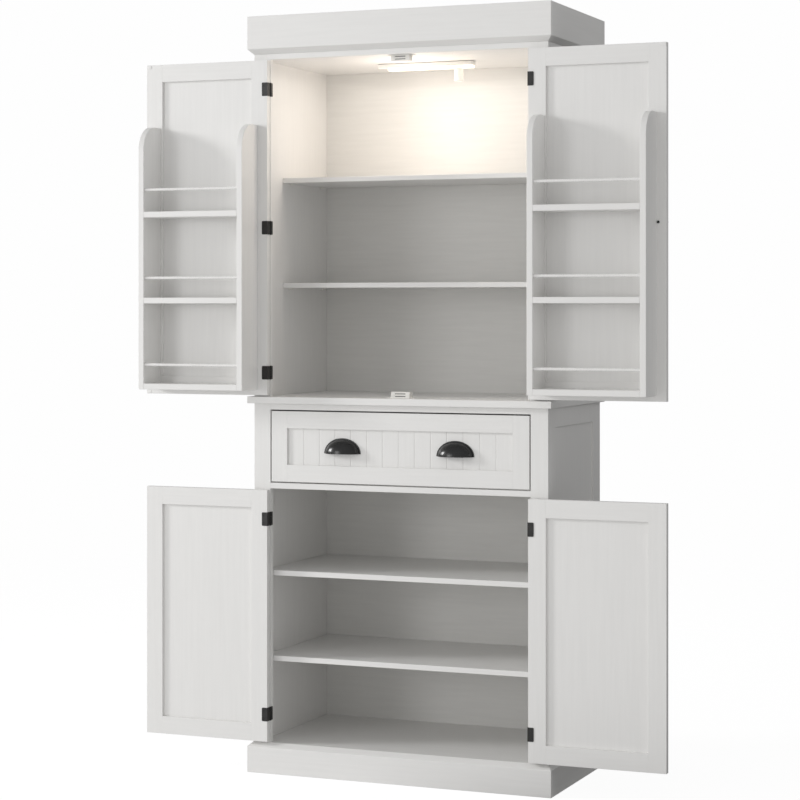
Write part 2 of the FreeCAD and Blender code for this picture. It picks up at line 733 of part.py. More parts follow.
def make_drawer():
    half = opening_half - drawer_gap
    low = drawer_opening_bottom + drawer_gap
    high = drawer_opening_top - drawer_gap
    front = body_front
    back = closed_inner_face
    panel_face = front + drawer_recess
    panel_back = panel_face + drawer_panel_thickness
    frame, panel = framed_panel(-half, half, front, back, low, high, drawer_member_width,
                                panel_face, panel_back)

    # V grooves between the upright boards of the panel
    show_half = half - drawer_member_width
    count = int((show_half - bead_width) / bead_pitch)
    for i in range(-count, count + 1):
        x = i * bead_pitch
        corners = [V(x - bead_width / 2, panel_face, low), V(x, panel_face + bead_depth, low),
                   V(x + bead_width / 2, panel_face, low)]
        panel = panel.cut(prism(corners, high - low))

    box_half = opening_half - runner_width
    inner_half = box_half - box_board
    box_low = drawer_opening_bottom + box_rise
    box_high = box_low + box_height
    box_back = back + box_depth
    bottom_low = box_low + box_bottom_rise
    bottom_high = bottom_low + box_bottom_thickness
    board_end = box_board - box_groove_depth
    bottom_half = inner_half + box_groove_depth
    bottom = board(bottom_half, back + board_end, box_back - board_end, bottom_low, bottom_high)
    side = block(inner_half, box_half, back, box_back, box_low, box_high).cut(bottom)
    front_board = board(inner_half, back, back + box_board, box_low, box_high).cut(bottom)
    rear_board = board(inner_half, box_back - box_board, box_back, box_low, box_high).cut(bottom)

    # Pulls and the screws that hold them from inside the drawer
    pull_low = (low + high) / 2 - pull_drop
    pulls = []
    screws = []
    for pull_x in (-pull_spacing / 2, pull_spacing / 2):
        pulls.append(cup_pull(pull_x, panel_face, pull_low))
        for screw_x in (pull_x - pull_boss_spacing / 2, pull_x + pull_boss_spacing / 2):
            seat = V(screw_x, back + box_board, pull_low + pull_boss_rise)
            length = seat.y - panel_face
            hole = rod(pull_screw_radius + pull_screw_clearance, length, seat, V(0, -1, 0))
            panel = panel.cut(hole)
            front_board = front_board.cut(hole)
            shank = rod(pull_screw_radius, length + pull_screw_grip, seat, V(0, -1, 0))
            screws.append(shank.fuse(rod(pull_screw_head_radius, pull_screw_head_height, seat, V(0, 1, 0))))

    nodes["drawer_front_frame"] = frame
    nodes["drawer_front_panel"] = [panel]
    nodes["drawer_box_sides"] = both_sides(side)
    nodes["drawer_box_ends"] = [front_board, rear_board]
    nodes["drawer_bottom"] = [bottom]
    nodes["cup_pulls"] = pulls
    nodes["pull_screws"] = screws


def save_nodes():
    os.makedirs("parts", exist_ok=True)
    for node, solids in nodes.items():
        shape = solids[0] if len(solids) == 1 else Part.makeCompound(solids)
        shape.translate(V(0, -origin_y, 0))
        shape.exportStep(f"parts/{node}.step")
        print(node, len(shape.Solids), round(shape.Volume), shape.isValid())


make_carcase()
make_doors()
make_catches()
make_lamp()
make_runners()
make_drawer()
save_nodes()
print(len(nodes), "nodes", "origin y", origin_y)
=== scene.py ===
import json
import math
import bmesh
import bpy
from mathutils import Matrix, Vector

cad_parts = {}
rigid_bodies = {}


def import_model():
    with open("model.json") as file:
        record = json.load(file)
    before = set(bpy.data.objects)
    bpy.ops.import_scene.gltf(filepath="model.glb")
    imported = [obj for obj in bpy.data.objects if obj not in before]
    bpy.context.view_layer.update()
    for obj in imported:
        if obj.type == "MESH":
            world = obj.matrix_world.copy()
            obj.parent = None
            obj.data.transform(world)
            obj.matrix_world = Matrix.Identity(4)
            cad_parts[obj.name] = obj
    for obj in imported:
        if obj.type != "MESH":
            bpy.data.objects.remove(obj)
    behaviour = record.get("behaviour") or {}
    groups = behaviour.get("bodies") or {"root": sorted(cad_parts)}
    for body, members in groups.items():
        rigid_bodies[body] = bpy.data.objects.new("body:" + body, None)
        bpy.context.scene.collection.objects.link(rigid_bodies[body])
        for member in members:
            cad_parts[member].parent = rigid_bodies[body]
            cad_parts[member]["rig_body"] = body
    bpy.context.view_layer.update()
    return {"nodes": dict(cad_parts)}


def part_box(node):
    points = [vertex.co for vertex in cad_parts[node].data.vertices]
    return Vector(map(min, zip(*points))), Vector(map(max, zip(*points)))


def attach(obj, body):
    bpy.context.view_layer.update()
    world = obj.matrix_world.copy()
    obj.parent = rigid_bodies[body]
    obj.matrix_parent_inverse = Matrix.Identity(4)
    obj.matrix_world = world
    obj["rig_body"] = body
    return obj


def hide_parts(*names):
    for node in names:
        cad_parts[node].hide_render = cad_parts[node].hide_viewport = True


# Kitchen cabinet: finishes, eased boards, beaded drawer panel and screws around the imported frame.
# Metres; +Z is up and the front looks to -Y.
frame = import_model()
mm = 0.001
print("frame loaded")


def addNode(tree, kind, inputs=None, **settings):
    node = tree.nodes.new(kind)
    for name, value in settings.items():
        setattr(node, name, value)
    for name, value in (inputs or {}).items():
        if isinstance(value, bpy.types.NodeSocket):
            tree.links.new(value, node.inputs[name])
        else:
            node.inputs[name].default_value = value
    return node


def toLinear(hexColour):
    channels = [int(hexColour[i:i + 2], 16) / 255 for i in (1, 3, 5)]
    linear = [c / 12.92 if c <= 0.04045 else ((c + 0.055) / 1.055) ** 2.4 for c in channels]
    return (*linear, 1.0)


def newMaterial(name):
    # an empty material with a Principled shader wired to its output
    material = bpy.data.materials.new(name)
    material.use_nodes = True
    tree = material.node_tree
    tree.nodes.clear()
    shader = addNode(tree, "ShaderNodeBsdfPrincipled")
    addNode(tree, "ShaderNodeOutputMaterial", {"Surface": shader.outputs["BSDF"]})
    return material, tree, shader


def patternNoise(tree, size, detail=3.0):
    # noise whose blotches measure size, given in millimetres along X, Y and Z
    place = addNode(tree, "ShaderNodeTexCoord").outputs["Object"]
    scale = [1 / (s * mm) for s in size]
    mapped = addNode(tree, "ShaderNodeMapping", {"Vector": place, "Scale": scale})
    noise = addNode(tree, "ShaderNodeTexNoise", {
        "Vector": mapped.outputs["Vector"], "Scale": 1.0, "Detail": detail})
    return noise.outputs["Fac"]


noiseMiddle = (0.3, 0.7)  # nearly all of a noise lies between these


def spread(tree, value, low, high):
    # the middle of a noise, stretched over low to high
    ranged = addNode(tree, "ShaderNodeMapRange", {
        "Value": value, "From Min": noiseMiddle[0], "From Max": noiseMiddle[1],
        "To Min": low, "To Max": high})
    return ranged.outputs["Result"]


def blend(tree, factor, first, second):
    mixed = addNode(tree, "ShaderNodeMix", {"Factor": factor}, data_type="RGBA")
    mixed.inputs["A"].default_value = toLinear(first)
    mixed.inputs["B"].default_value = toLinear(second)
    return mixed.outputs["Result"]


def tint(tree, shader, pattern, colours):
    mixed = blend(tree, spread(tree, pattern, 0, 1), colours["light"], colours["dark"])
    tree.links.new(mixed, shader.inputs["Base Color"])


def relief(tree, shader, height, strength, depth):
    # depth in millimetres
    bump = addNode(tree, "ShaderNodeBump", {
        "Strength": strength, "Distance": depth * mm, "Height": height})
    tree.links.new(bump.outputs["Normal"], shader.inputs["Normal"])


def shine(tree, shader, pattern, low, high):
    tree.links.new(spread(tree, pattern, low, high), shader.inputs["Roughness"])


# Satin lacquer sprayed on MDF and sanded between coats: soft wide highlights, a trace of roller
# streaks along each board and a very fine orange peel.
lacquer = {
    "light": "#e8e7e5", "dark": "#e5e4e2",
    "streakWidth": 7, "streakLength": 160, "streakDetail": 5.0,
    "peel": 3.2,  # the real peel is about 1 mm, too fine to show
    "peelDepth": 0.02, "peelStrength": 0.35, "roughLow": 0.34, "roughHigh": 0.44, "ior": 1.48}


def satinLacquer(name, grain):
    material, tree, shader = newMaterial(name)
    across, along = lacquer["streakWidth"], lacquer["streakLength"]
    size = [along if axis == grain else across for axis in range(3)]
    streaks = patternNoise(tree, size, lacquer["streakDetail"])
    tint(tree, shader, streaks, lacquer)
    fine = patternNoise(tree, [lacquer["peel"]] * 3)
    relief(tree, shader, fine, lacquer["peelStrength"], lacquer["peelDepth"])
    shine(tree, shader, fine, lacquer["roughLow"], lacquer["roughHigh"])
    shader.inputs["IOR"].default_value = lacquer["ior"]
    return material


# Grain along X, Y and Z; a board takes the one of its longest side.
lacquers = [satinLacquer(name, axis) for axis, name in enumerate(
    ("satinLacquerLevel", "satinLacquerDeep", "satinLacquerUpright"))]


# Paper-faced hardboard: flatter than the lacquer, with a fine printed tooth.
board = {
    "light": "#e4e3e0", "dark": "#e0dfdc", "fibres": (120, 9, 9), "fibreDetail": 5.0,
    "tooth": 4, "toothDepth": 0.03, "toothStrength": 0.3, "roughLow": 0.5, "roughHigh": 0.6}


def facedHardboard():
    material, tree, shader = newMaterial("facedHardboard")
    tint(tree, shader, patternNoise(tree, board["fibres"], board["fibreDetail"]), board)
    tooth = patternNoise(tree, [board["tooth"]] * 3)
    relief(tree, shader, tooth, board["toothStrength"], board["toothDepth"])
    shine(tree, shader, tooth, board["roughLow"], board["roughHigh"])
    return material


# Black powder coat on steel and lacquer on die-cast zinc: near-black, a soft sheen, a slight texture.
powder = {"cloud": 14, "grit": 1.1, "gritDepth": 0.02, "gritStrength": 0.3, "roughSpread": 0.05}


def powderCoat(name, light, dark, rough):
    material, tree, shader = newMaterial(name)
    tint(tree, shader, patternNoise(tree, [powder["cloud"]] * 3), {"light": light, "dark": dark})
    grit = patternNoise(tree, [powder["grit"]] * 3)
    relief(tree, shader, grit, powder["gritStrength"], powder["gritDepth"])
    shine(tree, shader, grit, rough - powder["roughSpread"], rough + powder["roughSpread"])
    return material


# Bare or plated metal: rough marks of the grinding along one way, brightness from its plating.
grinding = {"detail": 4.0, "depth": 0.02, "strength": 0.2, "roughSpread": 0.06}


def metal(name, light, dark, rough, brushed):
    material, tree, shader = newMaterial(name)
    marks = patternNoise(tree, brushed, grinding["detail"])
    tint(tree, shader, marks, {"light": light, "dark": dark})
    relief(tree, shader, marks, grinding["strength"], grinding["depth"])
    shine(tree, shader, marks, rough - grinding["roughSpread"], rough + grinding["roughSpread"])
    shader.inputs["Metallic"].default_value = 1.0
    return material


# Moulded ABS, spark-eroded tooth; also the epoxy on the rods and plates, which is smoother, and the
# sintered magnets, which are coarser.
moulding = {"flow": 30, "strength": 0.3, "roughSpread": 0.04}


def moulded(name, light, dark, rough, tooth, depth):
    material, tree, shader = newMaterial(name)
    tint(tree, shader, patternNoise(tree, [moulding["flow"]] * 3), {"light": light, "dark": dark})
    grain = patternNoise(tree, [tooth] * 3)
    relief(tree, shader, grain, moulding["strength"], depth)
    shine(tree, shader, grain, rough - moulding["roughSpread"], rough + moulding["roughSpread"])
    return material


# Frosted polycarbonate over a row of warm white chips: a lit bar whose glow varies a little in patches
# along it.
lampGlow = {
    "colour": "#fff0d2", "dim": "#ffe6bd", "strength": 2.2, "chips": (9, 40, 40), "chipDetail": 1.0,
    "cover": "#f4f1ea", "roughLow": 0.45, "roughHigh": 0.55}


def litDiffuser():
    material, tree, shader = newMaterial("frostedDiffuser")
    chips = patternNoise(tree, lampGlow["chips"], lampGlow["chipDetail"])
    glow = blend(tree, spread(tree, chips, 0, 1), lampGlow["colour"], lampGlow["dim"])
    shader.inputs["Base Color"].default_value = toLinear(lampGlow["cover"])
    tree.links.new(glow, shader.inputs["Emission Color"])
    shader.inputs["Emission Strength"].default_value = lampGlow["strength"]
    shine(tree, shader, chips, lampGlow["roughLow"], lampGlow["roughHigh"])
    return material


hardboard = facedHardboard()
blackSatin = powderCoat("blackPowderCoat", "#201f1e", "#191817", rough=0.42)
blackPull = powderCoat("blackLacqueredZinc", "#161616", "#101010", rough=0.24)
pinSteel = metal("blackenedSteel", "#3a3937", "#2b2a29", rough=0.4, brushed=(1.5, 1.5, 0.6))
zincSteel = metal("zincPlatedSteel", "#c9cac8", "#b4b6b5", rough=0.34, brushed=(22, 22, 1.6))
poleSteel = metal("oxidisedSteel", "#4a4846", "#3a3937", rough=0.45, brushed=(12, 1.2, 1.2))
whiteRod = moulded("whiteEpoxyRod", "#ecebe9", "#e6e5e3", rough=0.28, tooth=2.4, depth=0.002)
whiteSteel = moulded("whiteEpoxySteel", "#e9e8e6", "#e2e1df", rough=0.34, tooth=2.4, depth=0.01)
whitePlastic = moulded("mouldedAbs", "#eceae5", "#e6e4df", rough=0.4, tooth=1.6, depth=0.02)
ferrite = moulded("sinteredFerrite", "#3b3a39", "#2c2b2b", rough=0.62, tooth=1.2, depth=0.05)
diffuser = litDiffuser()
print("materials made")


# Boards: each CAD solid is copied, merged, and its sharp arrises rounded as sanding leaves them.
easing = {
    "frame": 0.3 * mm,  # doors and face frame, filled and sanded flush at their joints
    "board": 0.8 * mm,
    "thin": 0.2 * mm,
    "segments": 2,
    "flat": math.radians(0.5),  # triangles that meet at less than this become one face
    "sharp": math.radians(30)}


def closedSolids(node):
    # a CAD node's loose triangles come solid after solid, so each shell ends where its edges pair up
    mesh = frame["nodes"][node].data
    found, places, points, faces, unpaired = [], {}, [], [], set()
    for polygon in mesh.polygons:
        corners = []
        for v in polygon.vertices:
            place = mesh.vertices[v].co
            key = tuple(round(c, 6) for c in place)
            if key not in places:
                places[key] = len(points)
                points.append(place.copy())
            corners.append(places[key])
        faces.append(corners)
        for start, end in zip(corners, corners[1:] + corners[:1]):
            if (end, start) in unpaired:
                unpaired.remove((end, start))
            else:
                unpaired.add((start, end))
        if not unpaired:
            found.append((points, faces))
            places, points, faces = {}, [], []
    return found


def longestAxis(points):
    sizes = [max(p[axis] for p in points) - min(p[axis] for p in points) for axis in range(3)]
    return sizes.index(max(sizes))


def toMesh(piece):
    # the modifiers' result becomes the piece's own mesh
    bpy.context.view_layer.update()
    graph = bpy.context.evaluated_depsgraph_get()
    finished = bpy.data.meshes.new_from_object(piece.evaluated_get(graph))
    piece.modifiers.clear()
    piece.data = finished
    return piece


def pieceName(node):
    words = node.split("_")
    return words[0] + "".join(word.capitalize() for word in words[1:]) + "Eased"


def easedBoards(node, edge, material=None):
    form = bmesh.new()
    weight = form.edges.layers.float.new("bevel_weight_edge")
    for points, faces in closedSolids(node):
        corners = [form.verts.new(p) for p in points]
        grain = 0 if material else longestAxis(points)
        for face in faces:
            if len(set(face)) == 3:
                made = form.faces.new([corners[i] for i in face])
                made.material_index = grain
    form.normal_update()
    bmesh.ops.dissolve_limit(form, angle_limit=easing["flat"], verts=form.verts, edges=form.edges,
                             delimit={"MATERIAL"})
    form.normal_update()
    for e in form.edges:
        e[weight] = 1.0 if e.is_manifold and e.calc_face_angle_signed(0) > easing["sharp"] else 0.0
    for f in form.faces:
        f.smooth = True
    mesh = bpy.data.meshes.new(pieceName(node))
    form.to_mesh(mesh)
    form.free()
    for finish in ([material] if material else lacquers):
        mesh.materials.append(finish)
    piece = bpy.data.objects.new(pieceName(node), mesh)
    bpy.context.scene.collection.objects.link(piece)
    bevel = piece.modifiers.new("arris", "BEVEL")
    bevel.limit_method = "WEIGHT"
    bevel.width = edge
    bevel.segments = easing["segments"]
    bevel.use_clamp_overlap = False
    bevel.loop_slide = False  # no corner slides along the edges between a bore and its face's rim
    mesh.set_sharp_from_angle(angle=easing["sharp"])
    weighted = piece.modifiers.new("flats", "WEIGHTED_NORMAL")
    weighted.keep_sharp = True
    toMesh(piece)
    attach(piece, frame["nodes"][node]["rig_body"])
    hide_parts(node)


doors = ("upper_left_door", "upper_right_door", "lower_left_door", "lower_right_door")
upperDoors = doors[:2]
frameBoards = ["face_frame_stiles", "face_frame_rails", "drawer_front_frame"]
frameBoards += [d + "_frame" for d in doors]
plainBoards = [
    "lower_left_side", "lower_right_side", "upper_left_side", "upper_right_side", "bottom_panel",
    "middle_board", "ceiling_panel", "top_board", "rear_rail", "cornice_boards", "plinth_boards",
    "upper_shelves", "lower_shelves", "drawer_box_sides", "drawer_box_ends", "runner_spacers"]
plainBoards += [d + part for d in upperDoors for part in ("_rack_sides", "_rack_shelves")]
for node in frameBoards:
    easedBoards(node, easing["frame"])
for node in plainBoards:
    easedBoards(node, easing["board"])
for node in [d + "_panel" for d in doors]:
    easedBoards(node, easing["thin"])
for node in ("lower_back", "upper_back", "drawer_bottom"):
    easedBoards(node, easing["thin"], hardboard)
for node in ("catch_bodies", "lamp_housing", "shelf_supports"):
    easedBoards(node, easing["thin"], whitePlastic)
print("boards eased")


def modifierInputs(modifier, values):
    # sets a Geometry Nodes modifier's inputs by socket identifier, before anything is evaluated
    for item in modifier.node_group.interface.items_tree:
        if item.item_type == "SOCKET" and item.in_out == "INPUT" and item.name in values:
            modifier[item.identifier] = values[item.name]


def newTree(name, sizes, materials=()):
    tree = bpy.data.node_groups.new(name, "GeometryNodeTree")
    tree.interface.new_socket("Geometry", in_out="INPUT", socket_type="NodeSocketGeometry")
    for size in sizes:
        tree.interface.new_socket(size, in_out="INPUT", socket_type="NodeSocketFloat")
    for material in materials:
        tree.interface.new_socket(material, in_out="INPUT", socket_type="NodeSocketMaterial")
    tree.interface.new_socket("Geometry", in_out="OUTPUT", socket_type="NodeSocketGeometry")
    return tree, addNode(tree, "NodeGroupInput").outputs


def maths(tree, operation, first, second=0.0):
    return addNode(tree, "ShaderNodeMath", {0: first, 1: second}, operation=operation).outputs["Value"]


# Beaded panel of the drawer front: a flat sheet whose face dips into a V at every pitch.
bead = {
    "pitch": 40.3 * mm, "width": 3.0 * mm,
    "depth": 0.8 * mm,  # the lacquer fills half of each cut
    "weld": 0.01 * mm}  # points nearer than this become one


def beadedPanelTree():
    sizes = ("Width", "Height", "Thickness", "Pitch", "V width", "V depth", "Count")
    tree, given = newTree("beadedPanel", sizes, ("Finish",))
    # three points to each V, left lip, bottom and right lip, and one at each end of the panel
    inner = maths(tree, "MULTIPLY", given["Count"], 3.0)
    total = maths(tree, "ADD", inner, 2.0)
    line = addNode(tree, "GeometryNodeMeshLine", {"Count": total})
    index = addNode(tree, "GeometryNodeInputIndex").outputs["Index"]
    step = maths(tree, "SUBTRACT", index, 1.0)
    which = maths(tree, "FLOOR", maths(tree, "DIVIDE", step, 3.0))
    inGroove = maths(tree, "SUBTRACT", step, maths(tree, "MULTIPLY", which, 3.0))
    part = maths(tree, "SUBTRACT", inGroove, 1.0)
    middle = maths(tree, "DIVIDE", maths(tree, "SUBTRACT", given["Count"], 1.0), 2.0)
    grooveX = maths(tree, "MULTIPLY", maths(tree, "SUBTRACT", which, middle), given["Pitch"])
    lipX = maths(tree, "MULTIPLY", part, maths(tree, "DIVIDE", given["V width"], 2.0))
    right = maths(tree, "DIVIDE", given["Width"], 2.0)
    left = maths(tree, "MULTIPLY", right, -1.0)
    x = maths(tree, "ADD", grooveX, lipX)
    x = maths(tree, "MAXIMUM", maths(tree, "MINIMUM", x, right), left)
    last = maths(tree, "SUBTRACT", inner, 0.5)
    atStart = addNode(tree, "FunctionNodeCompare", {0: index, 1: 0.5},
                      data_type="FLOAT", operation="LESS_THAN")
    atEnd = addNode(tree, "FunctionNodeCompare", {0: step, 1: last},
                    data_type="FLOAT", operation="GREATER_THAN")
    xStart = addNode(tree, "GeometryNodeSwitch", {
        "Switch": atStart.outputs["Result"], "False": x, "True": left},
        input_type="FLOAT").outputs["Output"]
    xAll = addNode(tree, "GeometryNodeSwitch", {
        "Switch": atEnd.outputs["Result"], "False": xStart, "True": right},
        input_type="FLOAT").outputs["Output"]
    isBottom = maths(tree, "COMPARE", part, 0.0)
    isBottom = maths(tree, "MULTIPLY", isBottom, maths(tree, "GREATER_THAN", index, 0.5))
    isBottom = maths(tree, "MULTIPLY", isBottom, maths(tree, "LESS_THAN", step, last))
    y = maths(tree, "MULTIPLY", isBottom, given["V depth"])
    place = addNode(tree, "ShaderNodeCombineXYZ", {"X": xAll, "Y": y})
    profile = addNode(tree, "GeometryNodeSetPosition", {
        "Geometry": line.outputs["Mesh"], "Position": place.outputs["Vector"]})
    up = addNode(tree, "ShaderNodeCombineXYZ", {"Z": given["Height"]})
    face = addNode(tree, "GeometryNodeExtrudeMesh", {
        "Mesh": profile.outputs["Geometry"], "Offset": up.outputs["Vector"]}, mode="EDGES")
    back = addNode(tree, "ShaderNodeCombineXYZ", {"Y": given["Thickness"]})
    body = addNode(tree, "GeometryNodeExtrudeMesh", {
        "Mesh": face.outputs["Mesh"], "Offset": back.outputs["Vector"], "Individual": False},
        mode="FACES")
    # the back is flat: its points all go to the full thickness
    position = addNode(tree, "GeometryNodeInputPosition").outputs["Position"]
    split = addNode(tree, "ShaderNodeSeparateXYZ", {0: position})
    flat = addNode(tree, "ShaderNodeCombineXYZ", {
        "X": split.outputs["X"], "Y": given["Thickness"], "Z": split.outputs["Z"]})
    backed = addNode(tree, "GeometryNodeSetPosition", {
        "Geometry": body.outputs["Mesh"], "Selection": body.outputs["Top"],
        "Position": flat.outputs["Vector"]})
    front = addNode(tree, "GeometryNodeFlipFaces", {"Mesh": face.outputs["Mesh"]})
    whole = addNode(tree, "GeometryNodeJoinGeometry")
    tree.links.new(front.outputs["Mesh"], whole.inputs["Geometry"])
    tree.links.new(backed.outputs["Geometry"], whole.inputs["Geometry"])
    sewn = addNode(tree, "GeometryNodeMergeByDistance", {
        "Geometry": whole.outputs["Geometry"], "Distance": bead["weld"]})
    real = addNode(tree, "GeometryNodeRealizeInstances", {"Geometry": sewn.outputs["Geometry"]})
    flatFaces = addNode(tree, "GeometryNodeSetShadeSmooth", {
        "Geometry": real.outputs["Geometry"], "Shade Smooth": False})
    painted = addNode(tree, "GeometryNodeSetMaterial", {
        "Geometry": flatFaces.outputs["Geometry"], "Material": given["Finish"]})
    addNode(tree, "NodeGroupOutput", {"Geometry": painted.outputs["Geometry"]})
    return tree


def grownPiece(name, tree, values, points=()):
    # an object that a Geometry Nodes tree fills, turned into a plain mesh
    mesh = bpy.data.meshes.new(name)
    mesh.from_pydata([p for p, facing in points], [], [])
    if points:
        facings = mesh.attributes.new("facing", "FLOAT_VECTOR", "POINT")
        for i, (place, facing) in enumerate(points):
            facings.data[i].vector = facing
    piece = bpy.data.objects.new(name, mesh)
    bpy.context.scene.collection.objects.link(piece)
    modifier = piece.modifiers.new(name, "NODES")
    modifier.node_group = tree
    modifierInputs(modifier, values)
    return toMesh(piece)


panelLow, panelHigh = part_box("drawer_front_panel")
panelSize = panelHigh - panelLow
bead["count"] = 2 * math.floor(panelSize.x / 2 / bead["pitch"]) + 1
panel = grownPiece("drawerBeadedPanel", beadedPanelTree(), {
    "Width": panelSize.x, "Height": panelSize.z, "Thickness": panelSize.y, "Pitch": bead["pitch"],
    "V width": bead["width"], "V depth": bead["depth"], "Count": float(bead["count"]),
    "Finish": lacquers[2]})
for vertex in panel.data.vertices:
    vertex.co += Vector(((panelLow.x + panelHigh.x) / 2, panelLow.y, panelLow.z))
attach(panel, "drawer")
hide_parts("drawer_front_panel")
print("beaded panel made")


# Countersunk screws of the hinges and catches: a low dome with a cross recess.
screw = {
    "radius": 2.6 * mm, "crown": 0.22 * mm, "sunk": 0.3 * mm, "taper": 0.86, "sides": 20,
    "slotWidth": 0.7 * mm, "slotLength": 2.9 * mm,
    "fromCentre": 9.0 * mm,  # above and below the middle of a hinge leaf
    "fromEdge": 4.2 * mm,  # in from the leaf's free edge
    "leaf": 1.2 * mm,
    "catchRadius": 2.4 * mm, "catchFromEnd": 4.6 * mm, "catchFlange": 1.6 * mm}
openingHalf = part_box("face_frame_rails")[1].x


def screwTree():
    sizes = ("Radius", "Crown", "Sunk", "Slot width", "Slot length")
    tree, given = newTree("crossHeadScrews", sizes, ("Finish",))
    thick = maths(tree, "ADD", given["Crown"], given["Sunk"])
    crown = maths(tree, "MULTIPLY", given["Radius"], screw["taper"])
    head = addNode(tree, "GeometryNodeMeshCone", {
        "Vertices": screw["sides"], "Side Segments": 1, "Fill Segments": 1, "Radius Top": crown,
        "Radius Bottom": given["Radius"], "Depth": thick})
    lift = addNode(tree, "ShaderNodeCombineXYZ", {"Z": maths(tree, "MULTIPLY", given["Sunk"], -1.0)})
    seated = addNode(tree, "GeometryNodeTransform", {
        "Geometry": head.outputs["Mesh"], "Translation": lift.outputs["Vector"]})
    slots = addNode(tree, "GeometryNodeJoinGeometry")
    for turn in (0.0, math.pi / 2):
        size = addNode(tree, "ShaderNodeCombineXYZ", {
            "X": given["Slot length"], "Y": given["Slot width"], "Z": thick})
        bar = addNode(tree, "GeometryNodeMeshCube", {"Size": size.outputs["Vector"]})
        raised = addNode(tree, "ShaderNodeCombineXYZ", {"Z": maths(tree, "MULTIPLY", thick, 0.5)})
        placed = addNode(tree, "GeometryNodeTransform", {
            "Geometry": bar.outputs["Mesh"], "Translation": raised.outputs["Vector"],
            "Rotation": (0.0, 0.0, turn)})
        tree.links.new(placed.outputs["Geometry"], slots.inputs["Geometry"])
    cut = addNode(tree, "GeometryNodeMeshBoolean", {
        "Mesh 1": seated.outputs["Geometry"], "Mesh 2": slots.outputs["Geometry"],
        "Self Intersection": True},
        operation="DIFFERENCE", solver="EXACT")
    facing = addNode(tree, "GeometryNodeInputNamedAttribute", {"Name": "facing"},
                     data_type="FLOAT_VECTOR")
    turned = addNode(tree, "FunctionNodeAlignRotationToVector", {
        "Vector": facing.outputs["Attribute"]}, axis="Z")
    heads = addNode(tree, "GeometryNodeInstanceOnPoints", {
        "Points": given["Geometry"], "Instance": cut.outputs["Mesh"],
        "Rotation": turned.outputs["Rotation"]})
    real = addNode(tree, "GeometryNodeRealizeInstances", {"Geometry": heads.outputs["Instances"]})
    painted = addNode(tree, "GeometryNodeSetMaterial", {
        "Geometry": real.outputs["Geometry"], "Material": given["Finish"]})
    addNode(tree, "NodeGroupOutput", {"Geometry": painted.outputs["Geometry"]})
    return tree


crossHeads = screwTree()


def boxOf(points):
    low = Vector([min(p[axis] for p in points) for axis in range(3)])
    high = Vector([max(p[axis] for p in points) for axis in range(3)])
    return low, high


def leafScrews(node, onDoor):
    # a door's flap faces the front while the door is open; a frame's flap faces across the opening
    places = []
    for points, faces in closedSolids(node):
        low, high = boxOf(points)
        side = 1 if low.x > 0 else -1
        if onDoor:
            x = (high.x if side > 0 else low.x) - side * screw["fromEdge"]
            y, facing = low.y, (0, -1, 0)
        else:
            x = side * (openingHalf - screw["leaf"])
            y, facing = high.y - screw["fromEdge"], (-side, 0, 0)
        middle = (low.z + high.z) / 2
        for up in (-1, 1):
            places.append(((x, y, middle + up * screw["fromCentre"]), facing))
    return places


def addScrews(name, places, body, finish, radius):
    values = {
        "Radius": radius, "Crown": screw["crown"], "Sunk": screw["sunk"],
        "Slot width": screw["slotWidth"], "Slot length": screw["slotLength"], "Finish": finish}
    heads = grownPiece(name, crossHeads, values, places)
    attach(heads, body)


addScrews("hingeScrewsFrame", leafScrews("hinge_frame_leaves", onDoor=False), "cabinet", blackSatin,
          screw["radius"])
for door in doors:
    addScrews("hingeScrews_" + door, leafScrews(door + "_hinge_leaves", onDoor=True), door, blackSatin,
              screw["radius"])
catchScrews = []
for points, faces in closedSolids("catch_bodies"):
    low, high = boxOf(points)
    up = 1 if high.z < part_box("upper_shelves")[1].z else -1  # stands on the middle board or hangs
    flange = (low.z if up > 0 else high.z) + up * screw["catchFlange"]
    for end in (low.x + screw["catchFromEnd"], high.x - screw["catchFromEnd"]):
        catchScrews.append(((end, (low.y + high.y) / 2, flange), (0, 0, up)))
addScrews("catchScrews", catchScrews, "cabinet", zincSteel, screw["catchRadius"])
print("screws made")

# Pieces whose CAD shape is already right keep it and get their finish.
finishes = {
    blackSatin: ["hinge_frame_leaves"] + [d + "_hinge_leaves" for d in doors],
    blackPull: ["cup_pulls"] + [d + "_knob" for d in doors],
    pinSteel: ["hinge_pins"],
    zincSteel: ["pull_screws", "drawer_runner_slides", "runner_channels"],
    poleSteel: ["catch_pole_plates"],
    ferrite: ["catch_magnets"],
    whiteRod: [d + "_rack_rods" for d in upperDoors],
    whiteSteel: [d + "_strike_plates" for d in upperDoors],
    whitePlastic: ["lamp_sensor"],
    diffuser: ["lamp_diffuser"]}
for finish, nodes in finishes.items():
    for node in nodes:
        for slotOfNode in frame["nodes"][node].material_slots:
            slotOfNode.material = finish
print("hardware finished")


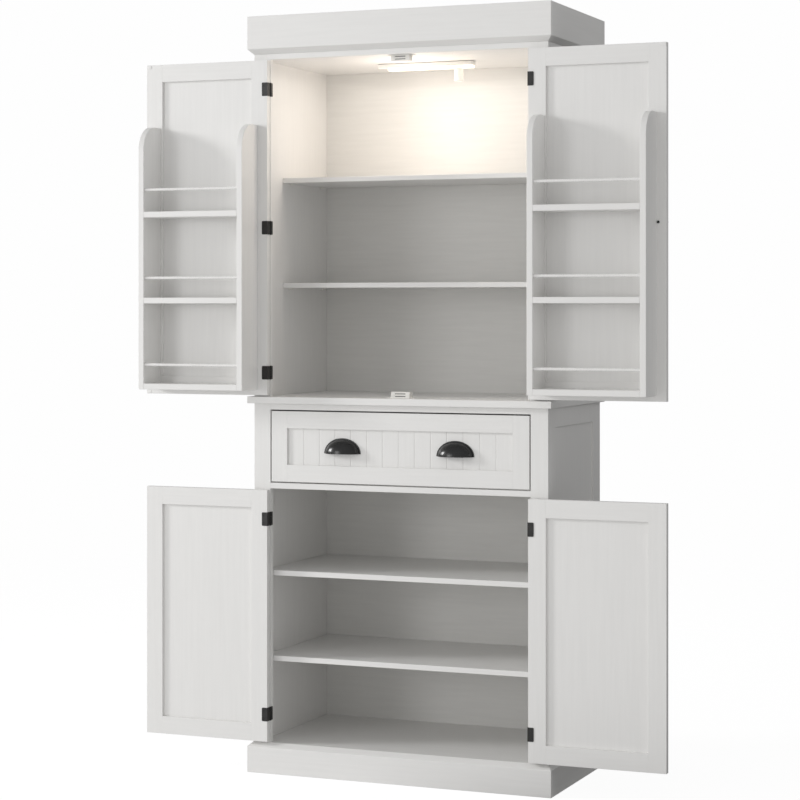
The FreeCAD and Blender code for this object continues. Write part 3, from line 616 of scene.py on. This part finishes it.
# Studio: a bright pale floor that ends in a white surround, soft lights from the left and a weak one
# from the right, in a room that is brighter in front. The cabinet's own lamp lights its wall and,
# more weakly, its ceiling.
studio = {
    "floorSize": 24.0, "floorColour": "#a0a0a0", "floorGlow": 0.42,
    "floorShade": "#303030", "glowShade": 0.02,  # painted shade: the floor's thrown colour and glow darken to the cabinet's right and behind it
    "shadeRight": (-0.1, 0.45), "shadeBack": (-0.5, -0.1),  # where the painted shade begins and is full
    "floorSeen": 0.93, "floorSeenColour": "#5c5c5c", "floorRough": 0.9, "floorGloss": 0.1,
    "floorFrom": 1.2, "floorTo": 5.0,  # how far out the floor begins and ends to fade, in metres
    "aim": (0.0, 0.0, 0.9),
    "key": {"place": (-6.6, -2.75, 2.8), "size": 1.3, "power": 230.0},
    "side": {"place": (-4.2, -7.2, 1.6), "size": 2.1, "power": 73.0},
    "right": {"place": (5.4, -0.9, 2.6), "size": 1.5, "power": 16.0},
    "room": 0.375, "roomFront": 0.33, "surround": "#fefefe",
    "lampColour": "#fff9f2", "lampPower": 0.37, "lampSpread": (0.6, 0.3), "lampBelow": 4 * mm,
    "spillColour": "#fff1e4", "spillPower": 1.0, "spillSize": 0.05,
    "spillAway": (40 * mm, 70 * mm, 110 * mm)}  # to the left, forward and down from the lamp


def makeFloor():
    mesh = bpy.data.meshes.new("floor")
    half = studio["floorSize"] / 2
    corners = [(-half, -half, 0), (half, -half, 0), (half, half, 0), (-half, half, 0)]
    mesh.from_pydata(corners, [], [(0, 1, 2, 3)])
    floor = bpy.data.objects.new("floor", mesh)
    bpy.context.scene.collection.objects.link(floor)
    material = bpy.data.materials.new("paleFloor")
    material.use_nodes = True
    tree = material.node_tree
    tree.nodes.clear()
    place = addNode(tree, "ShaderNodeTexCoord").outputs["Object"]
    ways = addNode(tree, "ShaderNodeSeparateXYZ", {0: place}).outputs
    # painted shade: the light the floor throws back is darker to the cabinet's right and behind it,
    # where its shadow would fall
    shades = []
    for way, reach in (("X", "shadeRight"), ("Y", "shadeBack")):
        begin, full = studio[reach]
        shades.append(addNode(tree, "ShaderNodeMapRange", {
            "Value": ways[way], "From Min": begin, "From Max": full}).outputs["Result"])
    shade = maths(tree, "MULTIPLY", shades[0], shades[1])
    lost = maths(tree, "MULTIPLY", shade, studio["floorGlow"] * (1 - studio["glowShade"]))
    thrownGlow = maths(tree, "SUBTRACT", studio["floorGlow"], lost)
    thrownColour = blend(tree, shade, studio["floorColour"], studio["floorShade"])
    seenColour = toLinear(studio["floorSeenColour"])
    # as bright as the surround where it is seen, and dimmer in the light that it throws back
    looks = []
    for colour, glow in ((thrownColour, thrownGlow), (seenColour, studio["floorSeen"])):
        looks.append(addNode(tree, "ShaderNodeBsdfPrincipled", {
            "Base Color": colour, "Roughness": studio["floorRough"],
            "Specular IOR Level": studio["floorGloss"],
            "Emission Color": (1, 1, 1, 1), "Emission Strength": glow}).outputs["BSDF"])
    out = addNode(tree, "ShaderNodeVectorMath", {0: place}, operation="LENGTH").outputs["Value"]
    fade = addNode(tree, "ShaderNodeMapRange", {
        "Value": out, "From Min": studio["floorFrom"], "From Max": studio["floorTo"]},
        interpolation_type="SMOOTHSTEP").outputs["Result"]
    clear = addNode(tree, "ShaderNodeBsdfTransparent").outputs["BSDF"]
    pale = addNode(tree, "ShaderNodeMixShader", {
        0: fade, 1: looks[1], 2: clear}).outputs["Shader"]
    ray = addNode(tree, "ShaderNodeLightPath").outputs["Is Camera Ray"]
    both = addNode(tree, "ShaderNodeMixShader", {
        0: ray, 1: looks[0], 2: pale}).outputs["Shader"]
    addNode(tree, "ShaderNodeOutputMaterial", {"Surface": both})
    mesh.materials.append(material)


def areaLight(name, place, aim, size, power, colour=(1, 1, 1), depth=None):
    lamp = bpy.data.lights.new(name, "AREA")
    lamp.energy = power
    lamp.color = colour
    lamp.size = size
    if depth:
        lamp.shape = "RECTANGLE"
        lamp.size_y = depth
    light = bpy.data.objects.new(name, lamp)
    bpy.context.scene.collection.objects.link(light)
    light.location = place
    light.rotation_euler = (Vector(aim) - Vector(place)).to_track_quat("-Z", "Y").to_euler()


def makeRoom():
    world = bpy.data.worlds.new("room")
    bpy.context.scene.world = world
    world.use_nodes = True
    tree = world.node_tree
    tree.nodes.clear()
    seen = addNode(tree, "ShaderNodeBackground", {"Color": toLinear(studio["surround"])})
    # the room is brightest straight in front and falls off to its sides
    way = addNode(tree, "ShaderNodeTexCoord").outputs["Generated"]
    toFront = addNode(tree, "ShaderNodeVectorMath", {0: way, 1: (0, -1, 0)}, operation="DOT_PRODUCT")
    ahead = maths(tree, "MAXIMUM", toFront.outputs["Value"])
    front = maths(tree, "MULTIPLY", ahead, studio["roomFront"])
    lit = addNode(tree, "ShaderNodeBackground", {
        "Color": (1, 1, 1, 1), "Strength": maths(tree, "ADD", front, studio["room"])})
    ray = addNode(tree, "ShaderNodeLightPath")
    both = addNode(tree, "ShaderNodeMixShader", {
        0: ray.outputs["Is Camera Ray"], 1: lit.outputs["Background"], 2: seen.outputs["Background"]})
    addNode(tree, "ShaderNodeOutputWorld", {"Surface": both.outputs["Shader"]})


def lightLamp():
    # a wide soft light for the strip's even glow on the wall, and a small one that reaches the ceiling
    low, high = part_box("lamp_diffuser")
    middle = (low + high) / 2
    place = Vector((middle.x, middle.y, low.z - studio["lampBelow"]))
    width, depth = studio["lampSpread"]
    areaLight("lampLight", place, place - Vector((0, 0, 1)), width, studio["lampPower"],
              toLinear(studio["lampColour"])[:3], depth)
    spill = bpy.data.lights.new("lampSpill", "POINT")
    spill.energy = studio["spillPower"]
    spill.color = toLinear(studio["spillColour"])[:3]
    spill.shadow_soft_size = studio["spillSize"]
    light = bpy.data.objects.new("lampSpill", spill)
    bpy.context.scene.collection.objects.link(light)
    light.location = place - Vector(studio["spillAway"])


makeFloor()
makeRoom()
for name in ("key", "side", "right"):
    light = studio[name]
    areaLight(name + "Light", light["place"], studio["aim"], light["size"], light["power"])
lightLamp()

# Camera: level, to the right of the front, with the frame shifted down to the cabinet.
view = {"place": (1.99488, -4.99343, 1.10869), "turn": 22.303, "lens": 101.45, "shiftUp": -0.1166}
camera = bpy.data.objects.new("camera", bpy.data.cameras.new("camera"))
bpy.context.scene.collection.objects.link(camera)
camera.location = view["place"]
camera.rotation_euler = (math.radians(90), 0, math.radians(view["turn"]))
camera.data.lens = view["lens"]
camera.data.shift_y = view["shiftUp"]
bpy.context.scene.camera = camera
bpy.context.scene.view_settings.view_transform = "Standard"
print("studio ready")
